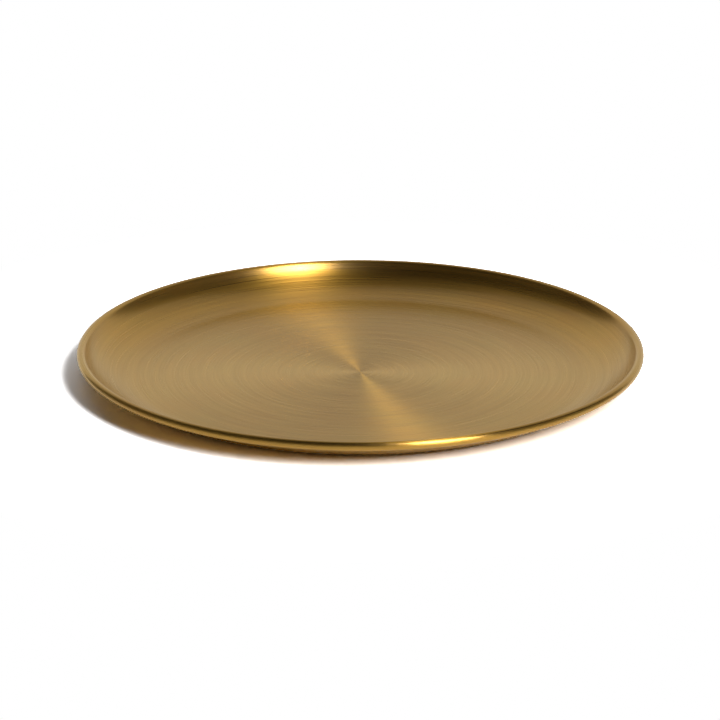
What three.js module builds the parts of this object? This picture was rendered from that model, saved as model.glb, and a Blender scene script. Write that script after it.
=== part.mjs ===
// Charger plate: a shallow round plate spun from one disc of brass sheet. The flat middle
// stands on the table, the wall rises from it in one long curve, and the edge is curled
// outwards and down over a steel wire that keeps the rim round and stiff.
// Millimetres, +Z up, with the origin under the middle of the flat base.

import * as THREE from 'three';

// Driving dimensions
const plateDiameter = 330; // across the outside of the rolled rim
const plateHeight = 17; // from the table to the top of the rim
const wallWidth = 36; // from the edge of the flat floor to the outside of the rim
const sheetThickness = 0.7;
const wireDiameter = 3.5;
const wireClearance = 0.2; // all round the wire, inside the curl
const curlMouth = 0.5; // from the cut edge of the sheet to the underside of the wall

// Facets: how finely the round shapes are divided
const turnSegments = 72;
const wallSteps = 8;
const curlSteps = 12;
const wireSides = 10;

// The curl is the sheet bent round the wire, so the wire and the sheet set its size.
const curlInside = wireDiameter / 2 + wireClearance;
const curlOutside = curlInside + sheetThickness;
const rimRadius = plateDiameter / 2 - curlOutside; // from the plate's axis to the wire's centre
const rimHeight = plateHeight - curlOutside; // from the table to the wire's centre
const floorRadius = plateDiameter / 2 - wallWidth;

// The wall is one arc that leaves the floor level and runs into the curl without a corner.
const wallReach = rimRadius - floorRadius;
const wallRise = rimHeight - sheetThickness;
const wallRadius =
  (wallReach ** 2 + wallRise ** 2 - curlOutside ** 2) / (2 * (wallRise + curlOutside));
const wallSlope = Math.atan2(wallReach, wallRadius - wallRise); // at the top, where the curl starts

// The curl turns over the top of the wire until its cut edge nears the wall again.
const rimToWallCentre = wallRadius + curlOutside;
const edgeToWallCentre = wallRadius + sheetThickness + curlMouth;
const curlOpening = Math.acos(
  (rimToWallCentre ** 2 + curlOutside ** 2 - edgeToWallCentre ** 2) /
    (2 * rimToWallCentre * curlOutside),
);
const curlStart = Math.PI / 2 + wallSlope;
const curlEnd = curlStart - (2 * Math.PI - curlOpening);

// Points of an arc in the plate's half section, where x is the distance from the plate's axis.
function arc(centreX, centreY, radius, fromAngle, toAngle, steps) {
  const points = [];
  for (let step = 0; step <= steps; step += 1) {
    const angle = fromAngle + ((toAngle - fromAngle) * step) / steps;
    const x = centreX + radius * Math.cos(angle);
    const y = centreY + radius * Math.sin(angle);
    points.push(new THREE.Vector2(x, y));
  }
  return points;
}

// Sheet body: its half section runs out along the underside, round the inside of the curl to
// the cut edge, back over the outside of the curl, and in along the upper face.
function spunDish() {
  const wallCentreHeight = sheetThickness + wallRadius;
  const down = -Math.PI / 2;
  const wallTop = down + wallSlope;
  const underRadius = wallRadius + sheetThickness;
  const underWall = arc(floorRadius, wallCentreHeight, underRadius, down, wallTop, wallSteps);
  const insideCurl = arc(rimRadius, rimHeight, curlInside, curlStart, curlEnd, curlSteps);
  const outsideCurl = arc(rimRadius, rimHeight, curlOutside, curlEnd, curlStart, curlSteps);
  const upperWall = arc(floorRadius, wallCentreHeight, wallRadius, wallTop, down, wallSteps);

  // The wall and the curl meet in one shared point on each face of the sheet.
  const halfSection = [
    new THREE.Vector2(0, 0),
    ...underWall,
    ...insideCurl.slice(1),
    ...outsideCurl,
    ...upperWall.slice(1),
    new THREE.Vector2(0, sheetThickness),
  ];
  const material = new THREE.MeshStandardMaterial({
    color: 0xb08d55,
    roughness: 0.32,
    metalness: 1,
  });
  const dish = new THREE.Mesh(new THREE.LatheGeometry(halfSection, turnSegments), material);
  dish.name = 'spun_dish';
  dish.rotation.x = Math.PI / 2;
  return dish;
}

// Stiffening wire: a plain ring inside the curl, held all round by the sheet.
function rimWire() {
  const geometry = new THREE.TorusGeometry(rimRadius, wireDiameter / 2, wireSides, turnSegments);
  const material = new THREE.MeshStandardMaterial({
    color: 0x8d8f92,
    roughness: 0.45,
    metalness: 1,
  });
  const wire = new THREE.Mesh(geometry, material);
  wire.name = 'rim_wire';
  wire.position.z = rimHeight;
  return wire;
}

const chargerPlate = new THREE.Group();
chargerPlate.name = 'charger_plate';
chargerPlate.add(spunDish(), rimWire());

export default chargerPlate;
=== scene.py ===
import math

import bpy
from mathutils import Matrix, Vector


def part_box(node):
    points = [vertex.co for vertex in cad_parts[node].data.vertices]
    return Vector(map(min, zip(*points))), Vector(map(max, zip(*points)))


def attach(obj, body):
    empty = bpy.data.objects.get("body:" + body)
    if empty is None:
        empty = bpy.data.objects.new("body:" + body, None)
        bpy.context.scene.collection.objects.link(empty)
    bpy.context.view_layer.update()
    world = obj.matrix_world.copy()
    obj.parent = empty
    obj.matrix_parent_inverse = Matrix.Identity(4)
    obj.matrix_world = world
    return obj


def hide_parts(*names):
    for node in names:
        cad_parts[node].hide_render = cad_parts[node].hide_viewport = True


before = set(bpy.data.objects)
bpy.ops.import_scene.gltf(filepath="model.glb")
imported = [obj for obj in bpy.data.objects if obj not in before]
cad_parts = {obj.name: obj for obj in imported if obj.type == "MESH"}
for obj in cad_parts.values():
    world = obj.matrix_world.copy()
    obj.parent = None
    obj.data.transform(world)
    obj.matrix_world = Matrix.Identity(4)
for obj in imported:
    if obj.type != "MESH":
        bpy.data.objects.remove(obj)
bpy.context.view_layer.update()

# Spun dish: one disc of brass sheet, spun on a lathe into a flat floor and a low curved wall, with
# its edge curled outwards and down over the rim wire. Both faces are finished with an abrasive pad
# while the plate still turns, and then get a thin clear lacquer.

plate_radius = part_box("spun_dish")[1].x
plate_height = 0.017
wall_width = 0.036
sheet_thickness = 0.0007
wire_diameter = 0.0035
wire_clearance = 0.0002

curl_outside = wire_diameter / 2 + wire_clearance + sheet_thickness
rim_radius = plate_radius - curl_outside
rim_height = plate_height - curl_outside
floor_radius = plate_radius - wall_width

# The wall leaves the floor in one long arc and turns up more sharply in a short shoulder under
# the curl. Both arcs meet without a corner and end on the curl at its own slope.
shoulder_radius = 0.020
top_slope = math.radians(62)
reach = rim_radius - curl_outside * math.sin(top_slope) - floor_radius
rise = rim_height + curl_outside * math.cos(top_slope) - sheet_thickness
reach_left = reach - shoulder_radius * math.sin(top_slope)
rise_left = rise - shoulder_radius * (1 - math.cos(top_slope))
wall_slope = 2 * math.atan2(rise_left, reach_left)
wall_radius = shoulder_radius + reach_left / math.sin(wall_slope)

# The curl turns over the wire until its cut edge nears the wall again. Both ends are directions
# seen from the wire's centre.
curl_start = math.radians(90) + top_slope
cut_edge = math.radians(197.4)
curl_sweep = curl_start + 2 * math.pi - cut_edge


def calculate(tree, operation, *values):
    """Adds a Math node that works on sockets or plain numbers, and gives its result."""
    node = tree.nodes.new("ShaderNodeMath")
    node.operation = operation
    for socket, value in zip(node.inputs, values):
        if isinstance(value, bpy.types.NodeSocket):
            tree.links.new(value, socket)
        else:
            socket.default_value = value
    return node.outputs[0]


def stretch(tree, value, from_min, from_max, to_min=0, to_max=1, kind="LINEAR"):
    """Adds a Map Range node that turns one range of a value into another, and gives its result."""
    node = tree.nodes.new("ShaderNodeMapRange")
    node.interpolation_type = kind
    node.inputs["From Min"].default_value = from_min
    node.inputs["From Max"].default_value = from_max
    node.inputs["To Min"].default_value = to_min
    node.inputs["To Max"].default_value = to_max
    tree.links.new(value, node.inputs["Value"])
    return node.outputs[0]


def blend(tree, mask, low, low_colour, high, high_colour):
    """Adds a colour ramp that goes from one colour to another as a mask rises, and gives its colour."""
    ramp = tree.nodes.new("ShaderNodeValToRGB")
    start, end = ramp.color_ramp.elements
    start.position = low
    start.color = low_colour
    end.position = high
    end.color = high_colour
    tree.links.new(mask, ramp.inputs[0])
    return ramp.outputs[0]


def new_tree(name, sizes):
    """Starts a geometry tree with a named input for each size, and gives it with those inputs."""
    tree = bpy.data.node_groups.new(name, "GeometryNodeTree")
    tree.is_modifier = True
    tree.interface.new_socket("Geometry", in_out="OUTPUT", socket_type="NodeSocketGeometry")
    for size in sizes:
        kind = "NodeSocketInt" if isinstance(sizes[size], int) else "NodeSocketFloat"
        tree.interface.new_socket(size, in_out="INPUT", socket_type=kind)
    inputs = tree.nodes.new("NodeGroupInput").outputs
    return tree, {size: inputs[size] for size in sizes}


def close_tree(tree, shape, material):
    """Ends a geometry tree: instances made real, one material, and the group's output."""
    real = tree.nodes.new("GeometryNodeRealizeInstances")
    dressed = tree.nodes.new("GeometryNodeSetMaterial")
    dressed.inputs["Material"].default_value = material
    out = tree.nodes.new("NodeGroupOutput")
    tree.links.new(shape, real.inputs[0])
    tree.links.new(real.outputs[0], dressed.inputs["Geometry"])
    tree.links.new(dressed.outputs[0], out.inputs[0])


def grown_piece(name, tree, sizes):
    """Runs a geometry tree with its sizes and keeps the result as a plain mesh at the origin."""
    piece = bpy.data.objects.new(name, bpy.data.meshes.new(name))
    bpy.context.scene.collection.objects.link(piece)
    modifier = piece.modifiers.new("shape", "NODES")
    modifier.node_group = tree
    for item in tree.interface.items_tree:
        if item.in_out == "INPUT":
            modifier[item.identifier] = sizes[item.name]
    evaluated = piece.evaluated_get(bpy.context.evaluated_depsgraph_get())
    mesh = bpy.data.meshes.new_from_object(evaluated)
    piece.modifiers.clear()
    piece.data = mesh
    mesh.name = name
    return piece


def brushed_brass():
    """Lacquered brass with fine turned scratches: satin along the radius, sharper round the plate."""
    deep_brass = (0.400, 0.221, 0.036, 1)
    pale_brass = (0.450, 0.249, 0.041, 1)
    warm_haze = (1.00, 0.96, 0.92, 1)
    cool_haze = (0.97, 1.00, 1.00, 1)
    edge_tint = (1, 0.94, 0.72, 1)
    fine_roughness = 0.265
    coarse_roughness = 0.383
    scratch_depth = 0.0002
    scratch_strength = 0.008
    haze_per_metre = 30
    tone_low, tone_high = 0.3, 0.7
    score_low, score_high = 0.35, 0.65

    material = bpy.data.materials.new("brushed_brass")
    material.use_nodes = True
    tree = material.node_tree
    shader = tree.nodes["Principled BSDF"]
    place = tree.nodes.new("ShaderNodeTexCoord").outputs["Object"]
    flat = tree.nodes.new("ShaderNodeVectorMath")
    flat.operation = "MULTIPLY"
    flat.inputs[1].default_value = (1, 1, 0)
    tree.links.new(place, flat.inputs[0])
    from_axis = tree.nodes.new("ShaderNodeVectorMath")
    from_axis.operation = "LENGTH"
    tree.links.new(flat.outputs[0], from_axis.inputs[0])
    heading = tree.nodes.new("ShaderNodeVectorMath")
    heading.operation = "NORMALIZE"
    tree.links.new(flat.outputs[0], heading.inputs[0])
    round_plate = tree.nodes.new("ShaderNodeSeparateXYZ")
    tree.links.new(heading.outputs[0], round_plate.inputs[0])
    height = tree.nodes.new("ShaderNodeSeparateXYZ")
    tree.links.new(place, height.inputs[0])

    def turned_marks(per_metre, breaks, detail):
        """Marks that run round the axis: so many per metre of the section, so often broken off."""
        spread = tree.nodes.new("ShaderNodeCombineXYZ")
        for axis in ("X", "Y"):
            along = calculate(tree, "MULTIPLY", round_plate.outputs[axis], breaks)
            tree.links.new(along, spread.inputs[axis])
        across = calculate(tree, "MULTIPLY", from_axis.outputs["Value"], per_metre)
        tree.links.new(across, spread.inputs["Z"])
        marks = tree.nodes.new("ShaderNodeTexNoise")
        marks.noise_dimensions = "4D"
        marks.inputs["Scale"].default_value = 1
        marks.inputs["Detail"].default_value = detail
        tree.links.new(spread.outputs[0], marks.inputs["Vector"])
        up = calculate(tree, "MULTIPLY", height.outputs["Z"], per_metre)
        tree.links.new(up, marks.inputs["W"])
        return marks.outputs["Fac"]

    rings = turned_marks(per_metre=450, breaks=1.2, detail=3)
    scores = turned_marks(per_metre=2400, breaks=2, detail=2)
    bump = tree.nodes.new("ShaderNodeBump")
    bump.inputs["Strength"].default_value = scratch_strength
    bump.inputs["Distance"].default_value = scratch_depth
    tree.links.new(rings, bump.inputs["Height"])
    tree.links.new(bump.outputs[0], shader.inputs["Normal"])
    scored = stretch(tree, scores, score_low, score_high, fine_roughness, coarse_roughness)
    tree.links.new(scored, shader.inputs["Roughness"])

    # Handling leaves a faint uneven haze over the tone of the rings.
    tone = blend(tree, rings, tone_low, deep_brass, tone_high, pale_brass)
    handling = tree.nodes.new("ShaderNodeTexNoise")
    handling.inputs["Scale"].default_value = haze_per_metre
    handling.inputs["Detail"].default_value = 3
    tree.links.new(place, handling.inputs["Vector"])
    haze = blend(tree, handling.outputs["Fac"], tone_low, warm_haze, tone_high, cool_haze)
    hazed = tree.nodes.new("ShaderNodeMix")
    hazed.data_type = "RGBA"
    hazed.blend_type = "MULTIPLY"
    hazed.inputs[0].default_value = 1
    first_colour, second_colour, mixed_colour = 6, 7, 2
    tree.links.new(tone, hazed.inputs[first_colour])
    tree.links.new(haze, hazed.inputs[second_colour])
    tree.links.new(hazed.outputs[mixed_colour], shader.inputs["Base Color"])

    # The quarter turn lays the stretched reflections across the scratches. The coat is the lacquer.
    shader.inputs["Metallic"].default_value = 1
    shader.inputs["Anisotropic"].default_value = 0.90
    shader.inputs["Anisotropic Rotation"].default_value = 0.25
    shader.inputs["Specular Tint"].default_value = edge_tint
    shader.inputs["Coat Weight"].default_value = 0.38
    shader.inputs["Coat Roughness"].default_value = 0.22
    return material


dish_sizes = {
    "Floor radius": floor_radius,
    "Wall radius": wall_radius + sheet_thickness / 2,
    "Wall slope": wall_slope,
    "Shoulder radius": shoulder_radius + sheet_thickness / 2,
    "Shoulder turn": top_slope - wall_slope,
    "Curl radius": curl_outside - sheet_thickness / 2,
    "Curl sweep": curl_sweep,
    "Sheet thickness": sheet_thickness,
    "Floor rows": 26,
    "Wall rows": 24,
    "Shoulder rows": 10,
    "Curl rows": 26,
    "Turn columns": 480,
}
dish_tree, dish = new_tree("Turned sheet", dish_sizes)


def dish_sum(operation, *values):
    """One sum in the dish's tree."""
    return calculate(dish_tree, operation, *values)


# A flat grid is laid out row by row along the half section, out under the sheet and back over
# it, and column by column round the axis. Row numbers grow from the axis to the cut edge.
wall_end_row = dish_sum("ADD", dish["Floor rows"], dish["Wall rows"])
shoulder_end_row = dish_sum("ADD", wall_end_row, dish["Shoulder rows"])
edge_row = dish_sum("ADD", shoulder_end_row, dish["Curl rows"])
last_row = dish_sum("ADD", dish_sum("MULTIPLY", edge_row, 2), 1)
grid_side = 1
grid = dish_tree.nodes.new("GeometryNodeMeshGrid")
grid.inputs["Size X"].default_value = grid_side
grid.inputs["Size Y"].default_value = grid_side
dish_tree.links.new(dish_sum("ADD", last_row, 1), grid.inputs["Vertices X"])
dish_tree.links.new(dish_sum("ADD", dish["Turn columns"], 1), grid.inputs["Vertices Y"])
laid = dish_tree.nodes.new("ShaderNodeSeparateXYZ")
dish_tree.links.new(dish_tree.nodes.new("GeometryNodeInputPosition").outputs[0], laid.inputs[0])
along_grid = dish_sum("ADD", laid.outputs["X"], grid_side / 2)
across_grid = dish_sum("ADD", laid.outputs["Y"], grid_side / 2)
middle_row = dish_sum("ADD", edge_row, 0.5)
from_middle = dish_sum("SUBTRACT", dish_sum("MULTIPLY", along_grid, last_row), middle_row)
row = dish_sum("SUBTRACT", middle_row, dish_sum("ABSOLUTE", from_middle))
side = dish_sum("SIGN", from_middle)
turn = dish_sum("MULTIPLY", across_grid, 2 * math.pi)


def share(first, rows):
    """How much of a stretch of rows lies before this row, from 0 to 1."""
    part = dish_sum("DIVIDE", dish_sum("SUBTRACT", row, first), rows)
    return dish_sum("MAXIMUM", dish_sum("MINIMUM", part, 1), 0)


def bend(radius, from_slope, to_slope):
    """How far out and how far up an arc runs from one slope to another."""
    out = dish_sum("SUBTRACT", dish_sum("SINE", to_slope), dish_sum("SINE", from_slope))
    up = dish_sum("SUBTRACT", dish_sum("COSINE", from_slope), dish_sum("COSINE", to_slope))
    return dish_sum("MULTIPLY", radius, out), dish_sum("MULTIPLY", radius, up)


# The middle of the sheet: a straight floor, the wall's arc, the shoulder, then the curl that
# turns back.
out_floor = dish_sum("MULTIPLY", share(0, dish["Floor rows"]), dish["Floor radius"])
wall_share = share(dish["Floor rows"], dish["Wall rows"])
wall_turn = dish_sum("MULTIPLY", wall_share, dish["Wall slope"])
out_wall, up_wall = bend(dish["Wall radius"], 0, wall_turn)
shoulder_share = share(wall_end_row, dish["Shoulder rows"])
shoulder_turn = dish_sum("MULTIPLY", shoulder_share, dish["Shoulder turn"])
shoulder_now = dish_sum("ADD", dish["Wall slope"], shoulder_turn)
out_shoulder, up_shoulder = bend(dish["Shoulder radius"], dish["Wall slope"], shoulder_now)
shoulder_top = dish_sum("ADD", dish["Wall slope"], dish["Shoulder turn"])
curl_share = share(shoulder_end_row, dish["Curl rows"])
curl_turn = dish_sum("MULTIPLY", curl_share, dish["Curl sweep"])
curl_now = dish_sum("SUBTRACT", shoulder_top, curl_turn)
out_curl, up_curl = bend(dish["Curl radius"], curl_now, shoulder_top)
half_sheet = dish_sum("DIVIDE", dish["Sheet thickness"], 2)
out_lower = dish_sum("ADD", out_floor, out_wall)
out_upper = dish_sum("ADD", out_shoulder, out_curl)
out_middle = dish_sum("ADD", out_lower, out_upper)
up_lower = dish_sum("ADD", half_sheet, up_wall)
up_upper = dish_sum("ADD", up_shoulder, up_curl)
up_middle = dish_sum("ADD", up_lower, up_upper)

# Each face of the sheet lies half its thickness from the middle, square to the slope there.
slope = dish_sum("SUBTRACT", dish_sum("ADD", wall_turn, shoulder_turn), curl_turn)
offset = dish_sum("MULTIPLY", half_sheet, side)
out_offset = dish_sum("MULTIPLY", offset, dish_sum("SINE", slope))
up_offset = dish_sum("MULTIPLY", offset, dish_sum("COSINE", slope))
out_face = dish_sum("SUBTRACT", out_middle, out_offset)
up_face = dish_sum("ADD", up_middle, up_offset)
turned = dish_tree.nodes.new("ShaderNodeCombineXYZ")
dish_tree.links.new(dish_sum("MULTIPLY", out_face, dish_sum("COSINE", turn)), turned.inputs["X"])
dish_tree.links.new(dish_sum("MULTIPLY", out_face, dish_sum("SINE", turn)), turned.inputs["Y"])
dish_tree.links.new(up_face, turned.inputs["Z"])
spun = dish_tree.nodes.new("GeometryNodeSetPosition")
dish_tree.links.new(grid.outputs["Mesh"], spun.inputs["Geometry"])
dish_tree.links.new(turned.outputs[0], spun.inputs["Position"])

# The seam and the two poles close where points meet. The rows run out under the sheet first,
# which turns the faces inwards, so they are flipped.
meeting_distance = 1e-6
closed = dish_tree.nodes.new("GeometryNodeMergeByDistance")
closed.inputs["Distance"].default_value = meeting_distance
dish_tree.links.new(spun.outputs[0], closed.inputs["Geometry"])
outward = dish_tree.nodes.new("GeometryNodeFlipFaces")
dish_tree.links.new(closed.outputs[0], outward.inputs["Mesh"])
close_tree(dish_tree, outward.outputs[0], brushed_brass())

# Only the two corners of the cut edge turn more than this, and they stay sharp.
sharp_corner = math.radians(50)
spun_dish = grown_piece("dish", dish_tree, dish_sizes)
spun_dish.data.shade_smooth()
spun_dish.data.set_sharp_from_angle(angle=sharp_corner)
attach(spun_dish, "root")
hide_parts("spun_dish")

# Rim wire: a ring of drawn steel wire inside the curl, butted end to end and held by the sheet.
# It only shows through the narrow mouth of the curl, from underneath.


def drawn_steel():
    """Plain drawn steel wire: grey, with a fine mottled tone."""
    dark_steel = (0.30, 0.30, 0.31, 1)
    pale_steel = (0.45, 0.45, 0.46, 1)
    grains_per_metre = 3000
    material = bpy.data.materials.new("drawn_steel")
    material.use_nodes = True
    tree = material.node_tree
    shader = tree.nodes["Principled BSDF"]
    place = tree.nodes.new("ShaderNodeTexCoord").outputs["Object"]
    grain = tree.nodes.new("ShaderNodeTexNoise")
    grain.inputs["Scale"].default_value = grains_per_metre
    tree.links.new(place, grain.inputs["Vector"])
    tone = blend(tree, grain.outputs["Fac"], 0, dark_steel, 1, pale_steel)
    tree.links.new(tone, shader.inputs["Base Color"])
    shader.inputs["Metallic"].default_value = 1
    shader.inputs["Roughness"].default_value = 0.4
    return material


wire_sizes = {
    "Ring radius": rim_radius,
    "Ring height": rim_height,
    "Wire radius": wire_diameter / 2,
    "Turn columns": 480,
    "Wire sides": 16,
}
wire_tree, wire = new_tree("Wire ring", wire_sizes)
ring = wire_tree.nodes.new("GeometryNodeCurvePrimitiveCircle")
wire_tree.links.new(wire["Turn columns"], ring.inputs["Resolution"])
wire_tree.links.new(wire["Ring radius"], ring.inputs["Radius"])
section = wire_tree.nodes.new("GeometryNodeCurvePrimitiveCircle")
wire_tree.links.new(wire["Wire sides"], section.inputs["Resolution"])
wire_tree.links.new(wire["Wire radius"], section.inputs["Radius"])
swept = wire_tree.nodes.new("GeometryNodeCurveToMesh")
wire_tree.links.new(ring.outputs[0], swept.inputs["Curve"])
wire_tree.links.new(section.outputs[0], swept.inputs["Profile Curve"])
lift = wire_tree.nodes.new("ShaderNodeCombineXYZ")
wire_tree.links.new(wire["Ring height"], lift.inputs["Z"])
raised = wire_tree.nodes.new("GeometryNodeTransform")
wire_tree.links.new(swept.outputs[0], raised.inputs["Geometry"])
wire_tree.links.new(lift.outputs[0], raised.inputs["Translation"])
close_tree(wire_tree, raised.outputs[0], drawn_steel())

rim_wire = grown_piece("wire_ring", wire_tree, wire_sizes)
rim_wire.data.shade_smooth()
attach(rim_wire, "root")
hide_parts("rim_wire")

# Studio floor: a wide sheet of white paper, laid flat, that the plate stands on. Near the plate it
# keeps the shadow, and farther off it turns into the plain white backdrop of the picture.

floor_side = 8.0
half_floor = floor_side / 2
floor_corners = [(-half_floor, -half_floor, 0), (half_floor, -half_floor, 0)]
floor_corners += [(half_floor, half_floor, 0), (-half_floor, half_floor, 0)]
floor_mesh = bpy.data.meshes.new("floor")
floor_mesh.from_pydata(floor_corners, [], [(0, 1, 2, 3)])
floor = bpy.data.objects.new("floor", floor_mesh)
bpy.context.scene.collection.objects.link(floor)

# The camera sees the lit paper brighter than its tone, so that it is white under plain lamps.
paper_tone = 0.9
camera_gain = 1.5
gain_in_metal = 0.08
backdrop_in_metal = 0.4
backdrop_start = 0.20
backdrop_full = 0.30
white_paper = bpy.data.materials.new("white_paper")
white_paper.use_nodes = True
paper_tree = white_paper.node_tree
paper = paper_tree.nodes["Principled BSDF"]
paper.inputs["Roughness"].default_value = 1
paper.inputs["Specular IOR Level"].default_value = 0
ray = paper_tree.nodes.new("ShaderNodeLightPath")
paper_place = paper_tree.nodes.new("ShaderNodeTexCoord").outputs["Object"]
from_middle_of_plate = paper_tree.nodes.new("ShaderNodeVectorMath")
from_middle_of_plate.operation = "LENGTH"
paper_tree.links.new(paper_place, from_middle_of_plate.inputs[0])
distance = from_middle_of_plate.outputs["Value"]
backdrop = stretch(paper_tree, distance, backdrop_start, backdrop_full, kind="SMOOTHSTEP")


def seen(share_in_metal):
    """Gives 1 where the camera looks, a share of it in the metal, and 0 for light on the plate."""
    mirrored = calculate(paper_tree, "MULTIPLY", ray.outputs["Is Glossy Ray"], share_in_metal)
    return calculate(paper_tree, "MAXIMUM", ray.outputs["Is Camera Ray"], mirrored)


white = calculate(paper_tree, "MULTIPLY", seen(backdrop_in_metal), backdrop)
lit_paper = calculate(paper_tree, "MULTIPLY_ADD", seen(gain_in_metal), camera_gain, paper_tone)
not_white = calculate(paper_tree, "SUBTRACT", 1, white)
paper_shade = calculate(paper_tree, "MULTIPLY", lit_paper, not_white)
paper_tree.links.new(paper_shade, paper.inputs["Base Color"])
paper_tree.links.new(white, paper.inputs["Emission Strength"])
paper.inputs["Emission Color"].default_value = (1, 1, 1, 1)
floor_mesh.materials.append(white_paper)

# Studio light: a tall gridded softbox in front on the right, hottest high up where its lamp is and
# turned to the back of the plate, and a wide white panel behind. The room around them is dim and
# dark overhead, and the metal shows its pale walls.

softbox_place = Vector((0.455, -0.655, 0.715))
softbox_aim = Vector((-0.12, 0.30, 0))
softbox_turn = (softbox_place - softbox_aim).to_track_quat("Z", "Y")
grid_spread = math.radians(90)


def gridded_light(name, width, height, energy, lift):
    """A flat light that a grid keeps from spreading wide, so far up the slope of the softbox."""
    light = bpy.data.lights.new(name, "AREA")
    light.shape = "RECTANGLE"
    light.size = width
    light.size_y = height
    light.energy = energy
    light.spread = grid_spread
    stand = bpy.data.objects.new(name, light)
    stand.location = softbox_place + softbox_turn @ Vector((0, lift, 0))
    stand.rotation_euler = softbox_turn.to_euler()
    bpy.context.scene.collection.objects.link(stand)


gridded_light("softbox", width=0.38, height=0.76, energy=4.0, lift=0)
gridded_light("softbox_lamp", width=0.08, height=0.20, energy=1.0, lift=0.26)

panel_bright = 0.73
panel_to_right = 0.25
panel_behind = 2.0
panel = bpy.data.lights.new("white_panel", "AREA")
panel.shape = "RECTANGLE"
panel.size = 4.3
panel.size_y = 4.6
panel.energy = panel_bright * math.pi * panel.size * panel.size_y
panel_stand = bpy.data.objects.new("white_panel", panel)
panel_stand.location = (panel_to_right, panel_behind, panel.size_y / 2)
panel_stand.rotation_euler = (-math.pi / 2, 0, 0)
bpy.context.scene.collection.objects.link(panel_stand)

room_bright = 0.006
ceiling_in_metal = 0.018
walls_in_metal = 0.08
pale_in_metal = 0.25
pale_from = 0.4
pale_full = -0.2
room = bpy.data.worlds.new("room")
room.use_nodes = True
bpy.context.scene.world = room
sky = room.node_tree
way = sky.nodes.new("ShaderNodeSeparateXYZ")
sky.links.new(sky.nodes.new("ShaderNodeTexCoord").outputs["Generated"], way.inputs[0])
sky_ray = sky.nodes.new("ShaderNodeLightPath")
level = calculate(sky, "SUBTRACT", 1, calculate(sky, "POWER", way.outputs["Z"], 2))


def wall_light(falloff, to_right):
    """Light from the walls: full at eye level, falling off above, and stronger on the right."""
    at_level = calculate(sky, "POWER", level, falloff)
    on_right = calculate(sky, "MULTIPLY_ADD", way.outputs["X"], to_right, 1)
    return calculate(sky, "MULTIPLY", at_level, on_right)


# The walls in front and at the sides are paler in a band at eye level, and the one behind isn't.
walls = wall_light(falloff=3, to_right=0.6)
not_behind = stretch(sky, way.outputs["Y"], pale_from, pale_full, kind="SMOOTHSTEP")
pale_band = calculate(sky, "MULTIPLY", wall_light(falloff=6, to_right=0.3), not_behind)
dark_room = calculate(sky, "MULTIPLY_ADD", walls, walls_in_metal, ceiling_in_metal)
mirrored_room = calculate(sky, "MULTIPLY_ADD", pale_band, pale_in_metal, dark_room)
in_metal = sky_ray.outputs["Is Glossy Ray"]
around = calculate(sky, "MULTIPLY_ADD", mirrored_room, in_metal, room_bright)
strength = calculate(sky, "MAXIMUM", around, sky_ray.outputs["Is Camera Ray"])
sky.links.new(strength, sky.nodes["Background"].inputs["Strength"])
sky.nodes["Background"].inputs["Color"].default_value = (1, 1, 1, 1)

# Camera: a long lens in front of the plate, raised about nineteen degrees and aimed just under the
# rim. Its distance and its lens give the plate its width in the picture.

picture_pixels = 720
plate_radius_pixels = 282.9
camera_distance = 16 * plate_radius
camera_rise = math.radians(19.15)
camera_aside = -0.0002
aim_below_rim = 0.0376 * plate_radius
aim_height = rim_height - aim_below_rim
pixels_per_metre = plate_radius_pixels / plate_radius
camera = bpy.data.cameras.new("camera")
camera.sensor_width = 36
camera.lens = camera.sensor_width * pixels_per_metre * camera_distance / picture_pixels
camera.clip_end = 50
camera_stand = bpy.data.objects.new("camera", camera)
camera_stand.location = (
    camera_aside,
    -camera_distance * math.cos(camera_rise),
    aim_height + camera_distance * math.sin(camera_rise),
)
camera_stand.rotation_euler = (math.pi / 2 - camera_rise, 0, 0)
bpy.context.scene.collection.objects.link(camera_stand)
bpy.context.scene.camera = camera_stand

bpy.context.scene.view_settings.view_transform = "Standard"
